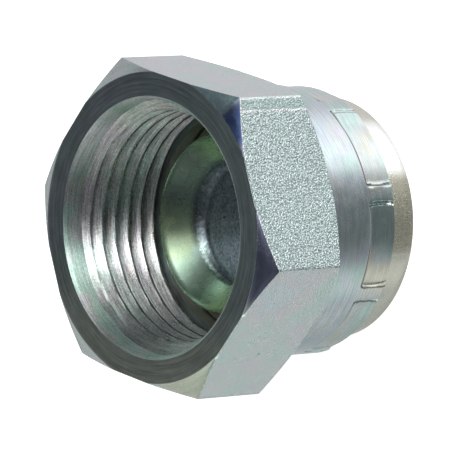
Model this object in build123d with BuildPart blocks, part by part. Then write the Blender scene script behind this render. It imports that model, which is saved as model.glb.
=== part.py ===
"""Threaded protection cap: a hexagon swivel nut crimped over a blanking plug.

The cap closes a threaded hydraulic port. The nut turns freely on the plug, and eight jaws have
pressed its skirt inwards over a groove in the plug, which keeps the two together.

Frame: the origin is the centre of the plug's rear face, and +Z runs along the common axis,
out of the threaded mouth. Two opposite flats of the hexagon face +Y and -Y.
"""

import os
from math import radians, sqrt, tan

from build123d import *

# ---- Driving dimensions, in millimetres and degrees ----

# Swivel nut, outside
across_flats = 32.0
nut_length = 21.6
hex_length = 11.3
mouth_face_radius = 16.2
rear_face_radius = 16.0
hex_chamfer_angle = 30.0
collar_radius = 14.35
collar_root_fillet = 0.3

# Swivel nut, bore: a G 3/4 pipe thread, left plain here at the radius of its crests
mouth_radius = 13.65
lead_in_radius = 13.35
lead_in_depth = 2.3
thread_crest_radius = 12.06
thread_flank_angle = 30.0
thread_end_depth = 9.7
relief_depth = 1.24
relief_land = 1.3

# Skirt of the nut, crimped by a ring of jaws
jaw_count = 8
jaw_length = 3.8
jaw_depth = 0.27
jaw_front_slope_length = 0.45
ridge_angle = 8.2
ridge_offset_angle = -4.6
skirt_edge_fillet = 0.2
lip_radius = 11.0
lip_land = 3.2

# Blanking plug
plug_height = 15.9
flange_radius = 12.85
flange_height = 4.1
flange_edge_chamfer = 0.15
bearing_radius = 11.8
bearing_top = 11.6
nose_radius = 9.45
nose_edge_chamfer = 0.15
seat_floor_radius = 6.5
seat_angle = 37.0
seat_floor_fillet = 2.0

# Clearances between the two pieces
bearing_clearance = 0.15
neck_clearance = 0.3
end_float = 0.15

# ---- Places that follow from them ----

nut_bottom = flange_height
nut_top = nut_bottom + nut_length
hex_bottom = nut_top - hex_length
corner_radius = across_flats / sqrt(3)
bearing_bore_radius = bearing_radius + bearing_clearance
lip_top = nut_bottom + lip_land
neck_radius = lip_radius - neck_clearance
neck_top = lip_top + end_float


def cone_height(radial_step, face_angle):
    """Height of a cone that changes radius by radial_step, its face at an angle to the end plane."""
    return radial_step * tan(radians(face_angle))


def rim(part, height, radius):
    """The circular edges of a part at one height and radius."""
    edges = part.edges().filter_by(GeomType.CIRCLE)
    edges = edges.filter_by_position(Axis.Z, height - 0.001, height + 0.001)
    return edges.filter_by(lambda edge: abs(edge.radius - radius) < 0.001)


# ---- Crimping jaw: the space that one jaw takes out of the skirt ----

jaw_top = nut_bottom + jaw_length
jaw_radius = collar_radius - jaw_depth
jaw_reach = collar_radius + 1

with BuildPart() as jaw:
    with BuildSketch(Plane.XZ):
        with BuildLine():
            Polyline(
                (jaw_radius, nut_bottom),
                (jaw_reach, nut_bottom),
                (jaw_reach, jaw_top),
                (collar_radius, jaw_top),
                (jaw_radius, jaw_top - jaw_front_slope_length),
                close=True,
            )
        make_face()
    revolve(axis=Axis.Z, revolution_arc=360 / jaw_count - ridge_angle)

# ---- Swivel nut ----

front_chamfer_height = cone_height(corner_radius - mouth_face_radius, hex_chamfer_angle)
rear_chamfer_height = cone_height(corner_radius - rear_face_radius, hex_chamfer_angle)
thread_top = nut_top - lead_in_depth - cone_height(lead_in_radius - thread_crest_radius, thread_flank_angle)
thread_bottom = nut_top - thread_end_depth
relief_radius = thread_crest_radius + relief_depth
relief_top = thread_bottom - cone_height(relief_depth, thread_flank_angle)
relief_bottom = relief_top - relief_land

with BuildPart() as swivel_nut:
    # Hexagon bar, with the turned chamfers at both ends of its flats
    with BuildSketch(Plane.XY.offset(hex_bottom)):
        RegularPolygon(across_flats / 2, side_count=6, major_radius=False)
    extrude(amount=hex_length)
    with BuildSketch(Plane.XZ):
        with BuildLine():
            Polyline(
                (0, hex_bottom),
                (rear_face_radius, hex_bottom),
                (corner_radius, hex_bottom + rear_chamfer_height),
                (corner_radius, nut_top - front_chamfer_height),
                (mouth_face_radius, nut_top),
                (0, nut_top),
                close=True,
            )
        make_face()
    revolve(axis=Axis.Z, mode=Mode.INTERSECT)

    # Round collar behind the hexagon, which ends in the skirt
    with BuildSketch(Plane.XY.offset(nut_bottom)):
        Circle(collar_radius)
    extrude(amount=hex_bottom - nut_bottom)
    fillet(rim(swivel_nut, hex_bottom, collar_radius), collar_root_fillet)
    fillet(rim(swivel_nut, nut_bottom, collar_radius), skirt_edge_fillet)

    # Impressions of the jaws, with a raised ridge between each two
    with PolarLocations(0, jaw_count, start_angle=ridge_offset_angle + ridge_angle / 2):
        add(jaw.part, mode=Mode.SUBTRACT)

    # Bore, from the crimped lip up to the countersunk mouth
    with BuildSketch(Plane.XZ):
        with BuildLine():
            Polyline(
                (0, nut_bottom),
                (lip_radius, nut_bottom),
                (lip_radius, lip_top),
                (bearing_bore_radius, lip_top + bearing_bore_radius - lip_radius),
                (bearing_bore_radius, relief_bottom),
                (relief_radius, relief_bottom),
                (relief_radius, relief_top),
                (thread_crest_radius, thread_bottom),
                (thread_crest_radius, thread_top),
                (lead_in_radius, nut_top - lead_in_depth),
                (lead_in_radius, nut_top - mouth_radius + lead_in_radius),
                (mouth_radius, nut_top),
                (0, nut_top),
                close=True,
            )
        make_face()
    revolve(axis=Axis.Z, mode=Mode.SUBTRACT)

# ---- Blanking plug ----

nose_bottom = bearing_top + bearing_radius - nose_radius
seat_rim_radius = nose_radius - nose_edge_chamfer
seat_floor = plug_height - (seat_rim_radius - seat_floor_radius) / tan(radians(seat_angle))

with BuildPart() as blanking_plug:
    # Turned outline: rear flange, groove for the crimped lip, bearing collar and nose
    with BuildSketch(Plane.XZ):
        with BuildLine():
            Polyline(
                (0, 0),
                (flange_radius, 0),
                (flange_radius, flange_height),
                (neck_radius, flange_height),
                (neck_radius, neck_top),
                (bearing_radius, neck_top + bearing_radius - neck_radius),
                (bearing_radius, bearing_top),
                (nose_radius, nose_bottom),
                (nose_radius, plug_height),
                (0, plug_height),
                close=True,
            )
        make_face()
    revolve(axis=Axis.Z)
    chamfer(rim(blanking_plug, 0, flange_radius), flange_edge_chamfer)
    chamfer(rim(blanking_plug, plug_height, nose_radius), nose_edge_chamfer)

    # Flared seat in the nose, down to a flat floor
    with BuildSketch(Plane.XZ):
        with BuildLine():
            Polyline(
                (0, seat_floor),
                (seat_floor_radius, seat_floor),
                (seat_rim_radius, plug_height),
                (0, plug_height),
                close=True,
            )
        make_face()
    revolve(axis=Axis.Z, mode=Mode.SUBTRACT)
    fillet(rim(blanking_plug, seat_floor, seat_floor_radius), seat_floor_fillet)

# ---- Labels and files ----

swivel_nut.part.label = "swivel_nut"
blanking_plug.part.label = "blanking_plug"

os.makedirs("parts", exist_ok=True)
export_step(swivel_nut.part, "parts/swivel_nut.step")
export_step(blanking_plug.part, "parts/blanking_plug.step")
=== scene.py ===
"""Looks of the threaded protection cap: a zinc-plated swivel nut crimped over a blanking plug."""

from math import atan, cos, degrees, pi, radians, sin, sqrt, tan

import bpy
from mathutils import Matrix, Vector


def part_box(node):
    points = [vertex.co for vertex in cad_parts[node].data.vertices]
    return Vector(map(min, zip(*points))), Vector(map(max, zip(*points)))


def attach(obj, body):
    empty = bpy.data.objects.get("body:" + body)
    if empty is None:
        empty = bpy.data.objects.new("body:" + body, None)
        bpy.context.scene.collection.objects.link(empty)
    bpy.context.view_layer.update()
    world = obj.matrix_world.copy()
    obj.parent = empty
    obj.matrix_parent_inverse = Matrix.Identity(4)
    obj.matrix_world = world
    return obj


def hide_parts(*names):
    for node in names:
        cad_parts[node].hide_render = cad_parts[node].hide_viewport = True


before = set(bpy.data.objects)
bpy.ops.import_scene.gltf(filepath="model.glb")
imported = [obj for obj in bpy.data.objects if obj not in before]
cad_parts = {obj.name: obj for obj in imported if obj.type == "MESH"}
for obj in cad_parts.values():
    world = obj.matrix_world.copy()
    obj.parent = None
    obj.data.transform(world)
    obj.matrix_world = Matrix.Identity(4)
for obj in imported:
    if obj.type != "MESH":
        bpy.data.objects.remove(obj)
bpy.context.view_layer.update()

MM = 0.001

# ---- Sizes in millimetres and degrees: the model's parts give the outer ones, the others repeat the CAD's ----

nut_low, nut_high = (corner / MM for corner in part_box("swivel_nut"))
_, plug_high = (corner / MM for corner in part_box("blanking_plug"))

nut_bottom = nut_low.z
nut_top = nut_high.z
flat_radius = nut_high.y
plug_height = plug_high.z
flange_radius = plug_high.x

hex_length = 11.3
mouth_face_radius = 16.2
rear_face_radius = 16.0
hex_chamfer_slope = tan(radians(30))
collar_radius = 14.35
collar_root_fillet = 0.3
hex_bottom = nut_top - hex_length

mouth_radius = 13.65
lead_in_radius = 13.35
lead_in_depth = 2.3

jaw_count = 8
jaw_length = 3.8
jaw_depth = 0.27
jaw_front_slope_length = 0.45
jaw_top = nut_bottom + jaw_length
ridge_offset_angle = -4.6
skirt_edge_fillet = 0.2
lip_radius = 11.0
lip_land = 3.2
bearing_bore_radius = 11.95

end_float = 0.15
neck_radius = 10.7
neck_top = nut_bottom + lip_land + end_float
bearing_radius = 11.8
bearing_top = 11.6
nose_radius = 9.45
nose_edge = 0.15
seat_floor_radius = 6.5
seat_floor_fillet = 2.0
seat_angle = 37.0
flange_edge = 0.15

# ---- The thread, which the CAD leaves as a plain wall at its crests. It runs further into the nut than
# that wall does, and so the groove behind it is shorter here ----

thread_crest_radius = 12.06
thread_root_radius = 13.0
thread_pitch = 1.814
thread_end_depth = 11.4
relief_radius = 13.3
relief_land = 0.2
flank_slope = tan(radians(30))

# Where the middle of a crest stands, the flats of crest and root as shares of the pitch, and how far the
# flanks bow towards the root
thread_phase_angle = 75.0
thread_phase_height = nut_top - 4.17
crest_flat = 0.18
root_flat = 0.06
root_roundness = 0.2

# ---- Finish of the edges ----

hex_edge_radius = 0.16
turned_edge_radius = 0.07

# ---- Mesh density: the hexagon, the skirt and the bore have the same number of columns ----

columns = 432
hex_columns = columns // 6
jaw_columns = columns // jaw_count
plug_columns = 288
thread_rows_per_turn = 20


def linspace(start, end, count):
    """count values from start to end, both included."""
    return [start + (end - start) * i / (count - 1) for i in range(count)]


def smooth(t):
    """A smooth step from 0 to 1 as t goes from 0 to 1."""
    t = min(max(t, 0.0), 1.0)
    return t * t * (3 - 2 * t)


def wrap(angle, period):
    """The angle's offset from the nearest multiple of the period."""
    return (angle + period / 2) % period - period / 2


# ---- Hexagon ----

def clustered(period, stops, count):
    """count offsets in one period, with lines at the given stops and the rest spread between them."""
    stops = sorted(stops)
    gaps = [b - a for a, b in zip(stops, stops[1:] + [stops[0] + period])]
    extra = count - len(stops)
    shares = [extra * gap / period for gap in gaps]
    fills = [int(share) for share in shares]
    order = sorted(range(len(gaps)), key=lambda i: fills[i] - shares[i])
    for i in order[: extra - sum(fills)]:
        fills[i] += 1
    offsets = []
    for start, gap, fill in zip(stops, gaps, fills):
        offsets += [start + gap * k / (fill + 1) for k in range(fill + 1)]
    return offsets


hex_pitch = 60
half_side = hex_pitch / 2
corner_centre = (flat_radius - hex_edge_radius) / cos(radians(half_side))
straight_half = (flat_radius - hex_edge_radius) * tan(radians(half_side))
corner_reach = half_side - degrees(atan(straight_half / flat_radius))

corner_stops = [corner_reach * share for share in (-1.0, -0.6, -0.3, 0.0, 0.3, 0.6, 1.0)]
corner_offsets = clustered(hex_pitch, corner_stops, hex_columns)
hex_angles = sorted(hex_pitch * side + offset for side in range(6) for offset in corner_offsets)
bore_angles = [360 * i / columns + hex_angles[0] for i in range(columns)]


def hex_radius(angle):
    """Radius of the hexagon's outline, its corners rounded by a small radius."""
    offset = wrap(angle, hex_pitch)
    if abs(offset) > corner_reach:
        return flat_radius / cos(radians(half_side - abs(offset)))
    across = corner_centre * sin(radians(offset))
    return corner_centre * cos(radians(offset)) + sqrt(hex_edge_radius ** 2 - across ** 2)


# ---- Crimped skirt ----

# Section across a ridge: offset in degrees from its middle, and depth as a share of the jaw's depth. The
# third number is the crease at the foot of a wall, a groove that the jaw's edge left, in mm.
ridge_section = (
    (-5.2, 1.0, 0.0),
    (-4.6, 0.86, 0.0),
    (-4.3, 1.12, 0.04),
    (-4.1, 1.12, 0.06),
    (-3.7, 0.62, 0.0),
    (-3.4, 0.25, 0.0),
    (-3.0, 0.0, 0.0),
    (0.0, 0.0, 0.0),
    (2.3, 0.0, 0.0),
    (2.8, 0.12, 0.0),
    (3.0, 0.42, 0.0),
    (3.15, 1.0, 0.16),
    (3.5, 1.0, 0.30),
    (4.1, 1.0, 0.28),
    (4.4, 1.0, 0.10),
    (4.6, 0.80, 0.0),
    (5.2, 1.0, 0.0),
)

# The jaws didn't bite alike: shift of each ridge in degrees, share of its crease, and share of the jaw's
# depth beside it, from the first ridge round by steps of one jaw
ridge_bites = (
    (-0.1, 0.5, 1.0),
    (0.1, 0.05, 0.35),
    (0.65, 1.0, 1.0),
    (-0.7, 0.3, 1.0),
    (0.2, 0.6, 1.0),
    (-0.3, 0.5, 0.8),
    (0.0, 0.8, 1.0),
    (0.3, 0.4, 0.9),
)

# How far from a ridge's middle its shift and its bite hold, and over how much more they fade, in degrees
shift_reach = 6.5
bite_reach = 4.0
ridge_fade = 8.0

# How far a ridge's walls bow out at the ends of the jaw's length, as a share of its width
ridge_bow = 0.16

# A crease fades in at the front and out at the end of the skirt, in mm, and ends a little past it, as a
# share of the jaw's length
crease_front_fade = 0.25
crease_end_fade = 0.5
crease_end = 1.02

jaw_pitch = 360 / jaw_count


def ridge_spread(along):
    """Width of a ridge against its width in the middle of the jaw's length."""
    return 1 + ridge_bow * (2 * along - 1) ** 2


def ridge_middle(jaw):
    """Where a ridge stands: its angle, from the even pitch of the jaws and its own shift."""
    return ridge_offset_angle - jaw_pitch * jaw - ridge_bites[jaw][0]


def skirt_angles(along):
    """Column angles in the skirt, with lines that follow both walls of each ridge."""
    stops = [-offset * ridge_spread(along) for offset, _, _ in ridge_section]
    offsets = clustered(jaw_pitch, stops, jaw_columns)
    angles = []
    for jaw in range(jaw_count):
        even = ridge_offset_angle - jaw_pitch * jaw
        shift = ridge_middle(jaw) - even
        for offset in offsets:
            near = 1 - smooth((abs(wrap(offset, jaw_pitch)) - shift_reach) / ridge_fade)
            angles.append((even + offset + shift * near) % 360)
    return sorted(angles)


def ridge_profile(offset):
    """Depth, as a share of the jaw's depth, and crease in mm at an offset from a ridge's middle."""
    for (low, *start), (high, *end) in zip(ridge_section, ridge_section[1:]):
        if low <= offset <= high:
            t = (offset - low) / (high - low)
            return [a + (b - a) * t for a, b in zip(start, end)]
    return [1.0, 0.0]


def skirt_radius(angle, z):
    """Radius of the crimped skirt: raised ridges, with the faces that the jaws pressed between them."""
    along = (jaw_top - z) / jaw_length
    ridge = collar_radius
    below = nut_bottom + skirt_edge_fillet - z
    if below > 0:
        ridge -= skirt_edge_fillet - sqrt(max(skirt_edge_fillet ** 2 - below ** 2, 0))

    jaw = round((ridge_offset_angle - angle) * jaw_count / 360) % jaw_count
    _, crease_share, bite = ridge_bites[jaw]
    offset = -wrap(angle - ridge_middle(jaw), 360) / ridge_spread(along)
    share, crease = ridge_profile(offset)
    share *= 1 - (1 - bite) * (1 - smooth((abs(offset) - bite_reach) / ridge_fade))

    pressed = smooth((jaw_top - z) / jaw_front_slope_length)
    fade = smooth((jaw_top - z) / crease_front_fade)
    fade *= smooth((crease_end - along) * jaw_length / crease_end_fade)
    return min(ridge, collar_radius - jaw_depth * share * pressed) - crease * crease_share * fade


def thread_radius(angle, z):
    """Radius of the threaded wall, with flat crests, nearly straight flanks and narrow roots."""
    turn = (z - thread_phase_height) / thread_pitch - (angle - thread_phase_angle) / 360
    offset = abs(wrap(turn, 1.0)) * 2
    depth = (offset - crest_flat) / (1 - crest_flat - root_flat)
    depth = min(max(depth, 0.0), 1.0)
    depth = (1 - root_roundness) * depth + root_roundness * sin(pi / 2 * depth)
    return thread_crest_radius + (thread_root_radius - thread_crest_radius) * depth


# ---- Meshes ----

def add_object(name, data):
    """A new object of the data, linked into the scene."""
    piece = bpy.data.objects.new(name, data)
    bpy.context.scene.collection.objects.link(piece)
    return piece


def grid_mesh(name, rows, zones, closed):
    """A surface of rows of points round the axis. Each row is a list of (angle, radius, z) in mm.

    zones gives the material of each band between two rows. A closed surface joins its last row to its
    first; an open one has a single point on the axis at each end.
    """
    verts = []
    starts = []
    for row in rows:
        starts.append(len(verts))
        verts += [(r * cos(radians(a)) * MM, r * sin(radians(a)) * MM, z * MM) for a, r, z in row]
    faces = []
    slots = []
    bands = list(zip(range(len(rows)), range(1, len(rows))))
    if closed:
        bands.append((len(rows) - 1, 0))
    for zone, (i, j) in zip(zones, bands):
        n = max(len(rows[i]), len(rows[j]))
        for k in range(n):
            m = (k + 1) % n
            a = [starts[i] + k, starts[i] + m] if len(rows[i]) > 1 else [starts[i]]
            b = [starts[j] + m, starts[j] + k] if len(rows[j]) > 1 else [starts[j]]
            faces.append(a + b)
            slots.append(zone)
    mesh = bpy.data.meshes.new(name)
    mesh.from_pydata(verts, [], faces)
    mesh.polygons.foreach_set("material_index", slots)
    mesh.validate()
    mesh.update()
    return add_object(name, mesh)


def finish_mesh(piece, sharp_angle):
    """Smooth shading, with hard edges only where the surface turns by more than sharp_angle."""
    mesh = piece.data
    mesh.shade_smooth()
    mesh.set_sharp_from_angle(angle=radians(sharp_angle))


def ring(angles, radius, z):
    """A round row."""
    return [(a, radius, z) for a in angles]


def between(angles, others, share):
    """Angles that lead over from one row's columns to another's."""
    return [a + (b - a) * share for a, b in zip(angles, others)]


def arc(centre_r, centre_z, radius, start, end, count):
    """Points (r, z) of an arc, its angles in degrees from the radial direction."""
    turns = [radians(t) for t in linspace(start, end, count)]
    return [(centre_r + radius * cos(t), centre_z + radius * sin(t)) for t in turns]


# Zones of the nut, each with a finish of its own
RING, CHAMFER, FLAT, COLLAR, SKIRT, INSIDE, THREAD, LEAD_IN = range(8)


def chamfer_top(radius):
    """Height of the front chamfer's cone at a radius."""
    return nut_top - max(radius - mouth_face_radius, 0) * hex_chamfer_slope


def chamfer_bottom(radius):
    """Height of the rear chamfer's cone at a radius."""
    return hex_bottom + max(radius - rear_face_radius, 0) * hex_chamfer_slope


def mouth_and_hexagon(add):
    """Rows from the mouth's edge over the ring, the chamfer and the flats to the hexagon's rear face."""
    edge = turned_edge_radius
    rim = mouth_face_radius
    rim_edge = rim + edge * 0.3
    hexagon = [(a, hex_radius(a)) for a in hex_angles]

    def add_hex(zone, place):
        """A row that follows the hexagon: place gives its radius and height from the outline's radius."""
        add(zone, [(a, *place(r)) for a, r in hexagon])

    def on_chamfer(outline, radius, drop):
        """A point on the chamfer, or on the outline where the mouth ring reaches the flat."""
        height = min(chamfer_top(radius), nut_top - drop)
        return (radius if outline > rim + edge else outline), height

    # Mouth ring
    for r, z in arc(mouth_radius + edge, nut_top - edge, edge, 120, 90, 3):
        add(RING, ring(bore_angles, r, z))
    for share in (0.3, 0.6, 0.85):
        radius = mouth_radius + share * (rim - mouth_radius)
        add(RING, ring(between(bore_angles, hex_angles, share), radius, nut_top))
    add_hex(RING, lambda r: (min(rim, r) - edge, nut_top))
    add_hex(RING, lambda r: (min(rim, r) - edge * 0.4, nut_top - edge * 0.12))
    add_hex(CHAMFER, lambda r: (min(rim_edge, r - edge * 0.02), chamfer_top(rim_edge) - edge * 0.15))

    # Chamfer, and the flats down to the rear chamfer
    add_hex(CHAMFER, lambda r: on_chamfer(r, rim + (r - rim) * 0.5, edge * 0.4))
    add_hex(CHAMFER, lambda r: on_chamfer(r, r - edge * 0.6, edge * 0.6))
    add_hex(FLAT, lambda r: (r, min(chamfer_top(r), nut_top - edge) - edge * 0.5))
    for share in linspace(0.04, 0.96, 6):
        add_hex(FLAT, lambda r: (r, chamfer_top(r) + (chamfer_bottom(r) - chamfer_top(r)) * share))
    add_hex(CHAMFER, lambda r: (r, max(chamfer_bottom(r), hex_bottom + edge) + edge * 0.5))
    add_hex(CHAMFER, lambda r: (r - edge * 0.8, max(chamfer_bottom(r - edge), hex_bottom + edge * 0.3)))
    add_hex(CHAMFER, lambda r: (min(rear_face_radius, r - edge), hex_bottom))


def collar_and_skirt(add):
    """Rows from the collar's root fillet down to the skirt's rear end."""
    fillet_centre = (collar_radius + collar_root_fillet, hex_bottom - collar_root_fillet)
    for r, z in arc(*fillet_centre, collar_root_fillet, 90, 180, 6):
        add(COLLAR, ring(hex_angles, r, z))
    top_angles = skirt_angles(0)
    collar_heights = linspace(hex_bottom - collar_root_fillet, jaw_top + 0.1, 8)[1:]
    for i, z in enumerate(collar_heights):
        share = (i + 1) / len(collar_heights)
        add(COLLAR, ring(between(hex_angles, top_angles, share), collar_radius, z))

    # Front slope, pressed faces and rear edge of the skirt
    heights = [jaw_top - jaw_front_slope_length * k / 7 for k in range(8)]
    heights += linspace(jaw_top - jaw_front_slope_length - 0.2, nut_bottom + skirt_edge_fillet, 8)
    edge_turns = (12, 24, 36, 48, 60, 72, 82, 90)
    heights += [nut_bottom + skirt_edge_fillet * (1 - sin(radians(turn))) for turn in edge_turns]
    for z in heights:
        add(SKIRT, [(a, skirt_radius(a, z), z) for a in skirt_angles((jaw_top - z) / jaw_length)])

    end_face_radius = 12.2
    add(SKIRT, ring(between(skirt_angles(1), bore_angles, 0.5), end_face_radius, nut_bottom))


def bore(add):
    """Rows from the lip up to the countersunk mouth."""
    thread_bottom = nut_top - thread_end_depth
    relief_top = thread_bottom - (relief_radius - thread_crest_radius) * flank_slope
    for r, z in (
        (lip_radius, nut_bottom),
        (lip_radius, nut_bottom + lip_land),
        (bearing_bore_radius, nut_bottom + lip_land + bearing_bore_radius - lip_radius),
        (bearing_bore_radius, relief_top - relief_land),
        (relief_radius, relief_top - relief_land),
    ):
        add(INSIDE, ring(bore_angles, r, z))

    # Thread, between the relief's cone and the lead-in's cone
    lead_in_bottom = nut_top - lead_in_depth
    count = round((lead_in_bottom - relief_top) / (thread_pitch / thread_rows_per_turn)) + 1
    for z in linspace(relief_top, lead_in_bottom, count):
        cones = max(
            relief_radius - (z - relief_top) / flank_slope,
            lead_in_radius - (lead_in_bottom - z) / flank_slope,
        )
        add(THREAD, [(a, max(thread_radius(a, z), cones), z) for a in bore_angles])

    # Lead-in and countersink, with soft corners
    countersink_bottom = nut_top - mouth_radius + lead_in_radius
    add(LEAD_IN, ring(bore_angles, lead_in_radius, lead_in_bottom + 0.05))
    add(LEAD_IN, ring(bore_angles, lead_in_radius, countersink_bottom - 0.05))
    add(LEAD_IN, ring(bore_angles, lead_in_radius + 0.03, countersink_bottom + 0.02))
    add(LEAD_IN, ring(bore_angles, mouth_radius - 0.05, nut_top - turned_edge_radius - 0.03))


def build_nut():
    rows = []
    zones = []

    def add(zone, row):
        rows.append(row)
        zones.append(zone)

    mouth_and_hexagon(add)
    collar_and_skirt(add)
    bore(add)
    nut = grid_mesh("zinc_nut", rows, zones, closed=True)
    finish_mesh(nut, sharp_angle=32)
    return nut


# Zones of the plug
P_FLANGE, P_END, P_HIDDEN, P_NOSE, P_SEAT, P_FLOOR = range(6)


def build_plug():
    angles = [360 * i / plug_columns for i in range(plug_columns)]
    edge = turned_edge_radius
    rows = [[(0, 0, 0)]]
    zones = [P_END]

    def add(zone, r, z):
        rows.append(ring(angles, r, z))
        zones.append(zone)

    # Rear face and flange
    for share in (0.25, 0.5, 0.75):
        add(P_END, flange_radius * share, 0)
    add(P_FLANGE, flange_radius - flange_edge - edge * 0.4, 0)
    add(P_FLANGE, flange_radius - flange_edge + edge * 0.3, edge * 0.3)
    add(P_FLANGE, flange_radius - edge * 0.3, flange_edge - edge * 0.3)
    for z in linspace(flange_edge + edge * 0.5, nut_bottom - 0.12, 6):
        add(P_FLANGE, flange_radius, z)
    add(P_FLANGE, flange_radius - 0.03, nut_bottom - 0.04)

    # Neck and bearing collar, inside the nut
    nose_bottom = bearing_top + bearing_radius - nose_radius
    add(P_HIDDEN, flange_radius - 0.10, nut_bottom)
    add(P_HIDDEN, neck_radius, nut_bottom)
    add(P_HIDDEN, neck_radius, neck_top)
    add(P_HIDDEN, bearing_radius, neck_top + bearing_radius - neck_radius)
    add(P_HIDDEN, bearing_radius, bearing_top)

    # Nose and its rounded edge
    add(P_NOSE, nose_radius, nose_bottom)
    for z in linspace(nose_bottom + 0.1, plug_height - nose_edge, 4):
        add(P_NOSE, nose_radius, z)
    for r, z in arc(nose_radius - nose_edge, plug_height - nose_edge, nose_edge, 20, 110, 7):
        add(P_SEAT, r, z)

    # Flared seat, its fillet and the flat floor
    rim_radius = nose_radius - nose_edge
    floor_z = plug_height - (rim_radius - seat_floor_radius) / tan(radians(seat_angle))
    centre_r = seat_floor_radius - seat_floor_fillet * tan(radians((90 - seat_angle) / 2))
    start_r = centre_r + seat_floor_fillet * cos(radians(seat_angle))
    start_z = floor_z + seat_floor_fillet * (1 - sin(radians(seat_angle)))
    for share in linspace(0.04, 0.98, 8):
        r = rim_radius + (start_r - rim_radius) * share
        add(P_SEAT, r, plug_height + (start_z - plug_height) * share)
    for r, z in arc(centre_r, floor_z + seat_floor_fillet, seat_floor_fillet, -seat_angle, -90, 8):
        add(P_FLOOR, r, z)
    for share in (0.75, 0.5, 0.25, 0.1):
        add(P_FLOOR, seat_floor_radius * share, floor_z)
    rows.append([(0, 0, floor_z)])

    plug = grid_mesh("zinc_plug", rows, zones, closed=False)
    finish_mesh(plug, sharp_angle=30)
    return plug


# ---- Camera: direction, roll and lens of a long shot from above the mouth's rim ----

view_azimuth = -103.47
view_elevation = 42.66
view_roll = 93.55
view_distance = 623.2
focal_length = 470.6
look_at = Vector((-0.433, 0.091, 14.846))


def camera_axes():
    """Right, up and towards-camera directions of the view."""
    az, el, roll = radians(view_azimuth), radians(view_elevation), radians(view_roll)
    towards = Vector((cos(el) * cos(az), cos(el) * sin(az), sin(el)))
    right = Vector((0, 0, 1)).cross(towards).normalized()
    up = towards.cross(right)
    turn = Matrix.Rotation(-roll, 3, towards)
    return turn @ right, turn @ up, towards


right, up, towards = camera_axes()


def place_camera():
    data = bpy.data.cameras.new("camera")
    data.lens = focal_length
    data.sensor_width = 36
    data.clip_start = 0.01
    data.clip_end = 10
    camera = add_object("camera", data)
    place = (look_at + towards * view_distance) * MM
    basis = Matrix((right, up, towards)).transposed().to_4x4()
    camera.matrix_world = Matrix.Translation(place) @ basis
    bpy.context.scene.camera = camera


# ---- Materials ----

def colour(r, g, b):
    return (r, g, b, 1.0)


def around(azimuth):
    """Direction of an azimuth, which runs clockwise from +X, seen from the mouth."""
    return (cos(radians(-azimuth)), sin(radians(-azimuth)), 0)


class Nodes:
    """Short calls that add nodes to one material or world."""

    def __init__(self, tree):
        self.tree = tree
        tree.nodes.clear()

    def node(self, kind, **settings):
        node = self.tree.nodes.new("ShaderNode" + kind)
        for key, value in settings.items():
            setattr(node, key, value)
        return node

    def link(self, source, target):
        self.tree.links.new(source, target)

    def put(self, socket, value):
        """Sets a socket to a plain value, or links it to another socket."""
        if isinstance(value, bpy.types.NodeSocket):
            self.link(value, socket)
        else:
            socket.default_value = value

    def math(self, operation, *values):
        node = self.node("Math", operation=operation)
        for socket, value in zip(node.inputs, values):
            self.put(socket, value)
        return node.outputs[0]

    def times(self, a, b):
        return self.math("MULTIPLY", a, b)

    def vector_math(self, operation, *values):
        node = self.node("VectorMath", operation=operation)
        for socket, value in zip(node.inputs, values):
            self.put(socket, value)
        return node.outputs["Value"] if operation in ("DOT_PRODUCT", "LENGTH") else node.outputs[0]

    def ramp(self, factor, *stops):
        """A colour ramp: each stop is (place, colour)."""
        node = self.node("ValToRGB")
        ramp = node.color_ramp
        while len(ramp.elements) < len(stops):
            ramp.elements.new(0.5)
        for element, (place, tint) in zip(ramp.elements, stops):
            element.position = place
            element.color = colour(*tint)
        self.put(node.inputs["Fac"], factor)
        return node.outputs["Color"]

    def map_range(self, value, low, high, to_low=0.0, to_high=1.0, smooth_step=False):
        node = self.node("MapRange", interpolation_type="SMOOTHSTEP" if smooth_step else "LINEAR")
        self.put(node.inputs["Value"], value)
        for name, bound in (("From Min", low), ("From Max", high), ("To Min", to_low), ("To Max", to_high)):
            self.put(node.inputs[name], bound)
        return node.outputs["Result"]

    def mix(self, factor, a, b, blend="MIX"):
        node = self.node("Mix", data_type="RGBA", blend_type=blend)
        self.put(node.inputs["Factor"], factor)
        self.put(node.inputs["A"], a)
        self.put(node.inputs["B"], b)
        return node.outputs["Result"]

    def grey(self, value):
        """A grey of a value."""
        node = self.node("CombineColor")
        for socket in node.inputs:
            self.put(socket, value)
        return node.outputs[0]

    def noise(self, vector, scale, detail=2.0, roughness=0.5):
        node = self.node("TexNoise")
        self.put(node.inputs["Vector"], vector)
        node.inputs["Scale"].default_value = scale
        node.inputs["Detail"].default_value = detail
        node.inputs["Roughness"].default_value = roughness
        return node.outputs["Fac"]

    def for_camera(self, elsewhere, seen):
        """A shader that the camera sees as one, and every other ray as another."""
        choice = self.node("MixShader")
        self.link(self.node("LightPath").outputs["Is Camera Ray"], choice.inputs["Fac"])
        self.link(elsewhere, choice.inputs[1])
        self.link(seen, choice.inputs[2])
        return choice.outputs[0]


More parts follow.
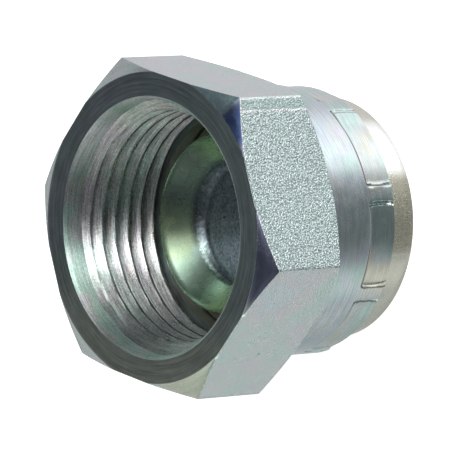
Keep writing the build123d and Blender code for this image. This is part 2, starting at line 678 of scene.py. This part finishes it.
class Finish(Nodes):
    """A metal finish: one shader, and the layers of colour and bump that are laid on it.

    Lengths in the textures are millimetres. Azimuths are clockwise from +X, seen from the mouth.
    """

    def __init__(self, name, tints, roughness=0.3, spread=0.05, anisotropy=0.0):
        self.material = bpy.data.materials.new(name)
        self.material.use_nodes = True
        super().__init__(self.material.node_tree)
        self.shader = self.node("BsdfPrincipled")
        self.link(self.shader.outputs["BSDF"], self.node("OutputMaterial").inputs["Surface"])
        self.shader.inputs["Metallic"].default_value = 1.0

        self.mm = self.vector_math("SCALE", self.node("TexCoord").outputs["Object"])
        self.mm.node.inputs["Scale"].default_value = 1 / MM
        self.x, self.y, self.z = self.split(self.mm)
        flat = self.join(self.x, self.y, 0.0)
        self.radius = self.vector_math("LENGTH", flat)
        self.about = self.vector_math("NORMALIZE", flat)
        # Grows both up a wall and across a face, so that lathe lines lie on either
        self.along = self.math("ADD", self.z, self.radius)
        self.normal = None

        # Passivation tints drift slowly over the surface
        drift = self.noise(self.mm, 0.16, 3.0, 0.6)
        last = len(tints) - 1
        self.tone = self.ramp(drift, *((0.34 + 0.32 * i / last, tint) for i, tint in enumerate(tints)))

        smudges = self.noise(self.mm, 0.8, 3.0, 0.6)
        rough = self.map_range(smudges, 0.3, 0.7, roughness - spread, roughness + spread)
        self.link(rough, self.shader.inputs["Roughness"])
        if anisotropy:
            # Lathe grooves spread the light across themselves
            tangent = self.node("Tangent", direction_type="RADIAL", axis="Z")
            self.link(tangent.outputs[0], self.shader.inputs["Tangent"])
            self.shader.inputs["Anisotropic"].default_value = anisotropy
            self.shader.inputs["Anisotropic Rotation"].default_value = 0.25

    def split(self, vector):
        node = self.node("SeparateXYZ")
        self.link(vector, node.inputs[0])
        return tuple(node.outputs)

    def join(self, x, y, z):
        node = self.node("CombineXYZ")
        for socket, value in zip(node.inputs, (x, y, z)):
            self.put(socket, value)
        return node.outputs[0]

    def darken(self, mask, low, high=1.0):
        """Multiplies the colour: by low where the mask is 0, by high where it is 1."""
        shade = self.grey(self.map_range(mask, 0.0, 1.0, low, high))
        self.tone = self.mix(1.0, self.tone, shade, "MULTIPLY")

    def stain(self, mask, tint, share=1.0):
        """Mixes a tint into the colour where the mask is 1."""
        self.tone = self.mix(self.times(mask, share), self.tone, colour(*tint))

    def sector(self, azimuth, inner, outer):
        """Mask: 1 within inner degrees of an azimuth round the axis, 0 beyond outer degrees."""
        near = self.vector_math("DOT_PRODUCT", self.about, around(azimuth))
        return self.map_range(near, cos(radians(outer)), cos(radians(inner)), smooth_step=True)

    def before(self, azimuth):
        """Mask: 1 on the half turn before an azimuth, with a clean end there."""
        past = self.vector_math("DOT_PRODUCT", self.about, around(azimuth + 90))
        return self.map_range(past, 0.0, 0.004, 1.0, 0.0)

    def band(self, value, low, high, soft):
        """Mask: 1 where a value lies between low and high, with soft edges outside them."""
        rise = self.map_range(value, low - soft, low)
        fall = self.map_range(value, high, high + soft, 1.0, 0.0)
        return self.times(rise, fall)

    def patch(self, sector, radii, tint, share):
        """Stains where a sector meets a band of radii."""
        self.stain(self.times(self.sector(*sector), self.band(self.radius, *radii)), tint, share)

    def wound(self, per_mm, reach, detail=3.0, roughness=0.65):
        """Noise drawn out round the axis: per_mm lines across, and reach sets how soon they change."""
        x, y, _ = self.split(self.about)
        at = self.join(self.times(x, reach), self.times(y, reach), self.times(self.along, per_mm))
        return self.noise(at, 1.0, detail, roughness)

    def lift(self, height, depth):
        """Adds a bump of a depth in millimetres."""
        node = self.node("Bump")
        node.inputs["Strength"].default_value = 1.0
        node.inputs["Distance"].default_value = depth * MM
        self.put(node.inputs["Height"], height)
        if self.normal is not None:
            self.put(node.inputs["Normal"], self.normal)
        self.normal = node.outputs["Normal"]

    def lines(self, per_mm, reach, depth, dark=1.0, light=1.0):
        """Lathe lines: a bump, with painted shade in the grooves and painted light on the ridges where dark
        and light are set.
        """
        lines = self.wound(per_mm, reach)
        self.lift(lines, depth)
        if dark < 1 or light > 1:
            self.darken(self.map_range(lines, 0.36, 0.62), dark, light)

    def grain(self, per_mm, depth, dark=1.0, light=1.0, mask=None, detail=2.0):
        """Crystalline grain of the plating."""
        crystals = self.noise(self.mm, per_mm, detail, 0.55)
        self.lift(crystals if mask is None else self.times(crystals, mask), depth)
        if dark < 1 or light > 1:
            self.darken(self.map_range(crystals, 0.35, 0.65), dark, light)

    def finished(self):
        self.link(self.tone, self.shader.inputs["Base Color"])
        if self.normal is not None:
            self.link(self.normal, self.shader.inputs["Normal"])
        return self.material


SILVER = (0.70, 0.73, 0.73)
BLUE = (0.66, 0.71, 0.77)
LILAC = (0.73, 0.69, 0.76)
TEAL = (0.60, 0.74, 0.70)
PALE = (0.74, 0.72, 0.62)
GOLD = (0.66, 0.60, 0.44)
OLIVE = (0.58, 0.70, 0.46)
GREEN = (0.44, 0.63, 0.46)

# The flat that faces -Y: it is blasted, and two bright lines run along it at these places on X: a line that
# the tool left, and a painted highlight on the rounded corner
front_azimuth = 90
tool_line_and_corner_highlight = (7.74, 9.12)
bright_line_half = 0.11


def ring_finish():
    tints = [(0.50, 0.57, 0.54), (0.54, 0.57, 0.62), (0.50, 0.58, 0.59)]
    f = Finish("zinc_mouth_ring", tints, 0.24, 0.03)
    # Greener beside the front flat, and pale yellow on the other side
    f.stain(f.sector(95, 30, 70), (0.58, 0.66, 0.64), share=0.9)
    f.stain(f.sector(205, 20, 75), (0.86, 0.88, 0.74), share=0.9)
    f.lines(per_mm=3.2, reach=2.2, depth=0.010, dark=0.78, light=1.12)
    f.lines(per_mm=8.0, reach=3.0, depth=0.004, dark=0.85, light=1.1)
    return f.finished()


def chamfer_finish():
    """Silver, but blue beside the front flat and darkened there by painted shade, with a teal patch and a
    darker patch of painted shade in it.
    """
    f = Finish("zinc_chamfer", [TEAL, SILVER, LILAC], 0.26, 0.04)
    # Blue oxide tint beside the front flat; its darkness is painted shade
    f.stain(f.sector(front_azimuth, 40, 50), (0.15, 0.17, 0.26), share=0.95)
    f.stain(f.sector(50, 8, 12), (0.50, 0.66, 0.70), share=0.95)
    # A darker blue patch: painted shade
    f.stain(f.sector(68, 4, 8), (0.07, 0.11, 0.25), share=0.9)
    f.stain(f.sector(180, 8, 18), (0.74, 0.76, 0.62), share=0.7)
    f.lines(per_mm=5.0, reach=2.5, depth=0.006, dark=0.9, light=1.05)
    f.grain(per_mm=5.0, depth=0.006, dark=0.92, light=1.06)
    return f.finished()


def flat_finish():
    tints = [(0.62, 0.74, 0.70), (0.66, 0.73, 0.71), (0.72, 0.70, 0.72), (0.66, 0.73, 0.76)]
    f = Finish("zinc_flat", tints, 0.24, 0.04)
    front = f.sector(front_azimuth, 29, 31)
    f.grain(per_mm=7.5, depth=0.05)

    # The front flat is blasted: coarse grain in the bump, and a lighter tint with painted glints of its
    # crystals in the colour
    crystals = f.noise(f.mm, 5.2, 1.0, 0.5)
    f.lift(f.times(crystals, front), 0.075)
    f.stain(front, (0.73, 0.85, 0.84), share=0.9)
    grain_and_painted_glints = f.grey(f.map_range(crystals, 0.42, 0.58, 0.64, 1.12))
    f.tone = f.mix(front, f.tone, f.mix(1.0, f.tone, grain_and_painted_glints, "MULTIPLY"))

    # Two bright lines, with a duller strip between them: a line that the tool left, and a painted highlight
    # on the rounded corner
    broken_up = f.times(front, f.map_range(f.noise(f.mm, 1.4, 2.0, 0.6), 0.30, 0.44))
    f.stain(f.times(f.band(f.x, 7.9, 9.0, 0.05), front), (0.50, 0.64, 0.60), share=0.5)
    for at in tool_line_and_corner_highlight:
        line = f.band(f.x, at - bright_line_half, at + bright_line_half, 0.05)
        f.stain(f.times(line, broken_up), (1.0, 1.0, 0.99), share=0.95)

    # A painted highlight along the edge where the chamfer's cone meets the flat
    outwards = f.math("SUBTRACT", f.radius, mouth_face_radius)
    cone = f.math("MULTIPLY_ADD", outwards, -hex_chamfer_slope, nut_top)
    edge = f.band(f.math("SUBTRACT", cone, f.z), 0.0, 0.14, 0.06)
    f.stain(f.times(edge, broken_up), (0.98, 0.94, 0.94), share=0.8)

    # A few dark specks
    f.darken(f.map_range(f.noise(f.mm, 1.6, 1.0, 0.4), 0.80, 0.77), 0.5)
    return f.finished()


def collar_finish():
    f = Finish("zinc_collar", [LILAC, SILVER, BLUE, TEAL], 0.26, 0.04, anisotropy=0.5)
    f.lines(per_mm=4.0, reach=3.0, depth=0.006, dark=0.9, light=1.05)
    f.lines(per_mm=10.0, reach=6.0, depth=0.003, dark=0.88, light=1.06)
    return f.finished()


def skirt_finish():
    f = Finish("zinc_skirt", [SILVER, TEAL, SILVER, PALE], 0.26, 0.04, anisotropy=0.5)

    # Painted shade on the jaws' front slopes, where they step down from the collar, and not on the ridges
    # between them
    slope = f.band(f.z, jaw_top - jaw_front_slope_length, jaw_top - 0.04, 0.05)
    pressed = f.map_range(f.radius, collar_radius - 0.004, collar_radius - 0.02)
    f.stain(f.times(slope, pressed), (0.20, 0.16, 0.15), share=0.9)

    # A dull stain beside one ridge
    f.stain(f.sector(109, 4, 10), (0.50, 0.54, 0.54), share=0.7)
    f.lines(per_mm=4.5, reach=3.0, depth=0.006, dark=0.9, light=1.05)
    f.lines(per_mm=11.0, reach=6.0, depth=0.003, dark=0.88, light=1.06)
    return f.finished()


def inside_finish():
    f = Finish("zinc_inside", [SILVER, TEAL], 0.34, 0.05)
    f.lines(per_mm=5.0, reach=3.0, depth=0.010, dark=0.8)
    return f.finished()


def thread_finish():
    f = Finish("zinc_thread", [TEAL, SILVER, LILAC], 0.30, 0.05, anisotropy=0.7)
    # Brown dirt along the turns, and a greyer patch at one side
    brown = f.map_range(f.wound(3.5, 2.0), 0.50, 0.68)
    f.stain(brown, (0.62, 0.54, 0.48), share=0.7)
    f.stain(f.sector(203, 10, 26), (0.46, 0.50, 0.47), share=0.7)
    f.lines(per_mm=9.0, reach=5.0, depth=0.012, dark=0.50, light=1.15)
    f.grain(per_mm=5.0, depth=0.012, dark=0.75, light=1.12)
    return f.finished()


def lead_in_finish():
    tints = [(0.70, 0.86, 0.80), (0.64, 0.84, 0.76), (0.80, 0.84, 0.82), (0.80, 0.78, 0.84)]
    f = Finish("zinc_lead_in", tints, 0.52, 0.05, anisotropy=0.9)
    # A painted highlight at one side
    f.stain(f.sector(326, 8, 18), (0.96, 1.0, 1.0), share=0.9)
    f.lines(per_mm=7.0, reach=4.0, depth=0.008, dark=0.72, light=1.12)
    f.grain(per_mm=5.0, depth=0.008, dark=0.82, light=1.08)
    return f.finished()


def flange_finish():
    """Pale gold, with a painted highlight on one side, and beside it a rough patch that ends at a clean
    line.
    """
    f = Finish("plug_flange", [PALE, (0.76, 0.73, 0.64)], 0.28, 0.04)
    rough = f.times(f.sector(104, 14, 22), f.before(123.5))
    # Painted highlight on one side
    f.stain(f.sector(71, 13, 20), (0.98, 0.97, 0.93), share=0.9)
    f.stain(rough, (0.54, 0.50, 0.38), share=0.75)
    f.grain(per_mm=6.5, depth=0.08, mask=rough)
    f.grain(per_mm=5.0, depth=0.012, dark=0.95, light=1.03)
    return f.finished()


def plug_end_finish():
    f = Finish("plug_end", [PALE, GOLD], 0.32, 0.05)
    f.lines(per_mm=3.5, reach=2.0, depth=0.010, dark=0.85)
    return f.finished()


def plug_hidden_finish():
    f = Finish("plug_hidden", [PALE, GOLD], 0.36, 0.05)
    f.lines(per_mm=5.0, reach=3.0, depth=0.010, dark=0.85)
    return f.finished()


def nose_finish():
    f = Finish("plug_nose", [OLIVE, GREEN], 0.32, 0.04, anisotropy=0.5)
    f.lines(per_mm=6.0, reach=4.0, depth=0.010, dark=0.8)
    return f.finished()


def seat_colour_and_painted_light(f):
    """The seat's colour, with painted light and shade in it: green on the cone, grey-blue on the floor,
    painted shade round the cone's foot and on one side, painted light on another side, and a painted
    highlight where the cone runs into the fillet.
    """
    # Painted shade on one side of the cone
    f.stain(f.sector(322, 14, 34), (0.22, 0.28, 0.26), share=0.85)
    # A bluer green on the other side, lightened there as painted light
    f.stain(f.sector(238, 12, 28), (0.70, 0.95, 0.78), share=0.9)
    # Painted shade round the cone's foot
    f.stain(f.map_range(f.radius, 7.5, 6.6), (0.20, 0.25, 0.28), share=0.95)
    # A painted highlight where the cone runs into the fillet
    f.patch((257, 6, 16), (5.9, 6.6, 0.7), (0.27, 0.34, 0.35), share=0.9)
    f.patch((255, 5, 15), (6.9, 7.4, 0.3), (0.62, 0.80, 0.75), share=0.8)
    # More painted shade on the fillet at the dark side
    f.patch((312, 36, 48), (5.5, 7.0, 0.5), (0.12, 0.145, 0.16), share=0.9)
    floor = f.map_range(f.radius, 6.1, 5.2)
    f.stain(floor, (0.50, 0.56, 0.66), share=0.95)
    f.stain(f.times(f.sector(240, 20, 50), floor), (0.30, 0.34, 0.40), share=0.8)


def seat_finish():
    f = Finish("plug_seat", [OLIVE, GREEN], 0.27, 0.02)
    seat_colour_and_painted_light(f)
    f.lines(per_mm=5.0, reach=2.0, depth=0.002)
    return f.finished()


def floor_finish():
    f = Finish("plug_seat_floor", [OLIVE, GREEN], 0.28, 0.04)
    seat_colour_and_painted_light(f)
    f.lines(per_mm=2.5, reach=1.5, depth=0.006, dark=0.85, light=1.1)
    f.grain(per_mm=3.2, depth=0.02, dark=0.6, light=1.25, detail=4.0)
    return f.finished()


def nut_materials():
    """The nut's finishes, in the order of its zones."""
    return [
        ring_finish(),
        chamfer_finish(),
        flat_finish(),
        collar_finish(),
        skirt_finish(),
        inside_finish(),
        thread_finish(),
        lead_in_finish(),
    ]


def plug_materials():
    """The plug's finishes, in the order of its zones."""
    return [
        flange_finish(),
        plug_end_finish(),
        plug_hidden_finish(),
        nose_finish(),
        seat_finish(),
        floor_finish(),
    ]


# ---- Stage: a white floor that keeps the shadow, and the studio round it ----

def build_floor():
    half = 3.0
    floor_glow = 0.88
    mesh = bpy.data.meshes.new("floor")
    corners = [(-half, -half, 0), (half, -half, 0), (half, half, 0), (-half, half, 0)]
    mesh.from_pydata(corners, [], [(0, 1, 2, 3)])
    floor = add_object("floor", mesh)
    material = bpy.data.materials.new("floor_white")
    material.use_nodes = True
    n = Nodes(material.node_tree)
    glow = n.node("Emission")
    glow.inputs["Strength"].default_value = floor_glow
    paint = n.node("BsdfDiffuse")
    paint.inputs["Color"].default_value = colour(0.9, 0.9, 0.9)
    both = n.node("AddShader")
    n.link(glow.outputs[0], both.inputs[0])
    n.link(paint.outputs[0], both.inputs[1])
    surface = n.for_camera(paint.outputs[0], both.outputs[0])
    n.link(surface, n.node("OutputMaterial").inputs["Surface"])
    mesh.materials.append(material)
    floor.visible_glossy = False
    floor.visible_shadow = False


# The studio stands still while the view moves. Its directions are written as the main view sees them:
# right, up and towards the camera.

# Shades of the room: soft round patches, each with its direction, its two radii in degrees and its tone
shades = (
    ((-0.55, 0.20, -0.80), 10, 50, (0.43, 0.46, 0.46)),
    ((-0.70, -0.70, -0.15), 12, 38, (0.50, 0.54, 0.50)),
    ((-0.72, 0.68, -0.02), 8, 26, (0.13, 0.15, 0.15)),
    ((0.10, 0.50, -0.86), 10, 40, (0.70, 0.70, 0.73)),
    ((0.40, -0.66, -0.64), 16, 42, (0.40, 0.44, 0.44)),
    ((-1.0, -0.02, 0.03), 12, 34, (0.07, 0.08, 0.085)),
    ((1.0, -0.03, 0.12), 10, 32, (0.14, 0.17, 0.17)),
    ((0.60, 0.73, -0.33), 8, 26, (1.00, 1.03, 1.08)),
    ((0.78, 0.61, -0.15), 6, 13, (1.35, 1.40, 1.40)),
    ((0.79, -0.58, -0.18), 5, 13, (0.70, 0.73, 0.72)),
)

# Lamps, which add to the shades, each with its direction, its two radii in degrees and its strength
lamps = (
    ((0.08, 0.58, 0.81), 5, 15, 1.3),
    ((0.05, 0.75, 0.65), 6, 26, 1.5),
    ((0.75, 0.60, 0.30), 6, 24, 0.6),
    ((0.50, 0.87, 0.00), 6, 30, 0.5),
    ((0.28, -0.95, 0.02), 8, 29, 1.5),
    ((-0.30, -0.25, 0.92), 8, 25, 0.15),
    ((-0.35, 0.75, 0.55), 5, 20, 0.8),
    ((-0.35, -0.72, 0.60), 6, 20, 0.35),
    ((0.70, -0.69, 0.20), 6, 28, 0.25),
    ((-0.78, -0.50, 0.38), 6, 22, 0.45),
)

# A long narrow lamp: the direction across it, with the place of its middle and how far from there it is
# dark and bright, and the direction along it, with the places where it is dark and bright
strip_across = (-0.207, 0.965, -0.159)
strip_middle = 0.19
strip_fade = (0.24, 0.06)
strip_along = (0.647, 0.256, 0.718)
strip_start = (-0.06, 0.10)

# The narrow lamp's strength changes with height: from one height to another, and by how much
strip_steps = ((-0.35, 0.0, 6.0), (0.15, 0.35, -5.2), (0.60, 0.74, 3.6))


def view_vector(u, v, w):
    """A vector given as right, up and towards the camera of the main view."""
    return right * u + up * v + towards * w


def build_world():
    world = bpy.data.worlds.new("studio")
    bpy.context.scene.world = world
    world.use_nodes = True
    n = Nodes(world.node_tree)
    direction = n.node("TexCoord").outputs["Generated"]

    def reach(vector):
        return n.vector_math("DOT_PRODUCT", direction, tuple(vector))

    def patch(at, inner, outer):
        near = reach(view_vector(*at).normalized())
        return n.map_range(near, cos(radians(outer)), cos(radians(inner)), smooth_step=True)

    # White paper behind the cap, and the dark room on the camera's side
    light = n.ramp(
        n.map_range(reach(towards), -1.0, 1.0),
        (0.00, (0.64, 0.65, 0.67)),
        (0.30, (0.62, 0.64, 0.66)),
        (0.45, (0.44, 0.46, 0.48)),
        (0.56, (0.15, 0.17, 0.18)),
        (0.68, (0.05, 0.06, 0.07)),
        (1.00, (0.03, 0.035, 0.04)),
    )
    for at, inner, outer, tone in shades:
        light = n.mix(patch(at, inner, outer), light, colour(*tone))
    for at, inner, outer, strength in lamps:
        lamp_colour = colour(strength * 0.98, strength, strength * 0.97)
        lamp = n.mix(patch(at, inner, outer), colour(0, 0, 0), lamp_colour)
        light = n.mix(1.0, light, lamp, "ADD")

    # The long narrow lamp
    off_middle = n.math("SUBTRACT", reach(view_vector(*strip_across)), strip_middle)
    strip = n.map_range(n.math("ABSOLUTE", off_middle), *strip_fade, smooth_step=True)
    strip = n.times(strip, n.map_range(reach(view_vector(*strip_along)), *strip_start))
    height = reach((0, 0, 1))
    strength = 0.0
    for low, high, change in strip_steps:
        strength = n.math("ADD", strength, n.map_range(height, low, high, 0.0, change))
    light = n.mix(1.0, light, n.grey(n.times(strip, strength)), "ADD")

    studio = n.node("Background")
    n.link(light, studio.inputs["Color"])
    white = n.node("Background")
    white.inputs["Color"].default_value = colour(1, 1, 1)
    surface = n.for_camera(studio.outputs[0], white.outputs[0])
    n.link(surface, n.node("OutputWorld").inputs["Surface"])


def main():
    nut = build_nut()
    for material in nut_materials():
        nut.data.materials.append(material)
    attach(nut, "nut")
    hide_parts("swivel_nut")

    plug = build_plug()
    for material in plug_materials():
        plug.data.materials.append(material)
    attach(plug, "plug")
    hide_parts("blanking_plug")

    build_floor()
    build_world()
    place_camera()
    bpy.context.scene.view_settings.view_transform = "Standard"


main()
